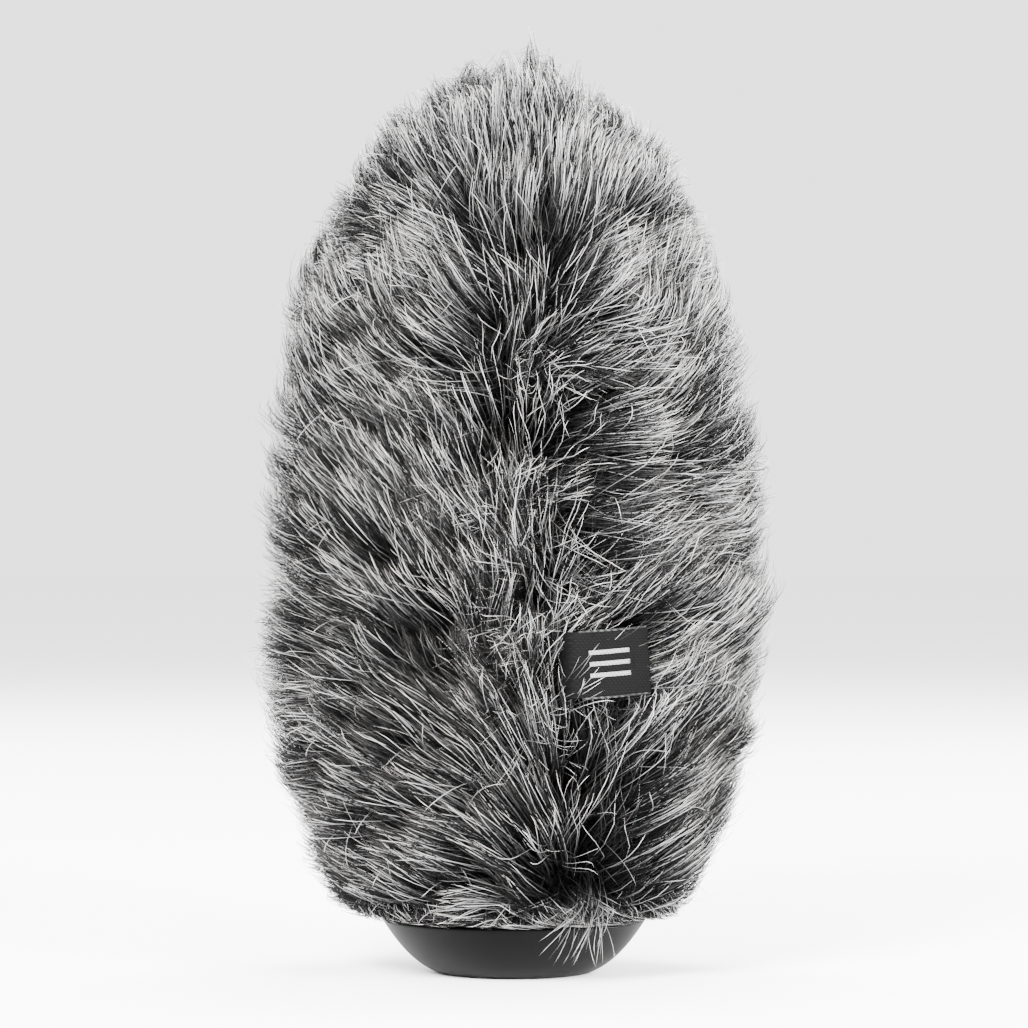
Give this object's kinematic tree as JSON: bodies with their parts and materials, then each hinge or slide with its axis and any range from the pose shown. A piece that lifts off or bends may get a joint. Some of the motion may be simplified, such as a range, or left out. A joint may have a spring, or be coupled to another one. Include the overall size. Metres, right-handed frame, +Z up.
{
  "type": "furry microphone windscreen",
  "caption": "Slip-on windscreen for a shotgun microphone: rubber boot, meshed cage in foam, and a lift-off cover of long salt-and-pepper fur with a woven label.",
  "frame": {"origin": "centre of the boot's underside, where the windscreen stands", "axes": "+Z up along the microphone's axis towards the furry nose, -Y towards the label and the parting"},
  "size_m": [0.109, 0.109, 0.198],
  "materials": {
    "boot_rubber": "satin",
    "collar_rubber": "matte",
    "core_polymer": "matte",
    "foam": "matte",
    "binding_tape": "matte",
    "elastic": "matte",
    "backing_knit": "matte",
    "fur": "matte",
    "label_weave": "matte",
    "label_thread": "matte"
  },
  "bodies": {
    "core": {"base_boot": "boot_rubber", "boot_insert_ring": "core_polymer", "mic_grip_collar": "collar_rubber", "cage_base_flange": "core_polymer", "cage_half_left": "core_polymer", "cage_half_right": "core_polymer", "cage_clip_bands": "core_polymer", "cage_nose_cap": "core_polymer", "mic_stop_pad": "foam", "inner_foam_sleeve": "foam", "outer_foam_sleeve": "foam", "foam_nose_plug": "foam"},
    "fur_cover": {"hem_binding": "binding_tape", "hem_elastic": "elastic", "backing_panel_left": "backing_knit", "backing_panel_right": "backing_knit", "backing_crown": "backing_knit", "front_seam_tape": "binding_tape", "back_seam_tape": "binding_tape", "crown_seam_tape": "binding_tape", "fur_pile_left": "fur", "fur_pile_right": "fur", "fur_pile_crown": "fur", "label_tab": "label_weave", "label_mark": "label_thread"}
  },
  "joints": [
    {"name": "cover_lift", "type": "slide", "parent": "core", "child": "fur_cover", "axis": [0, 0, 1], "range_m": [0, 0.17]}
  ]
}
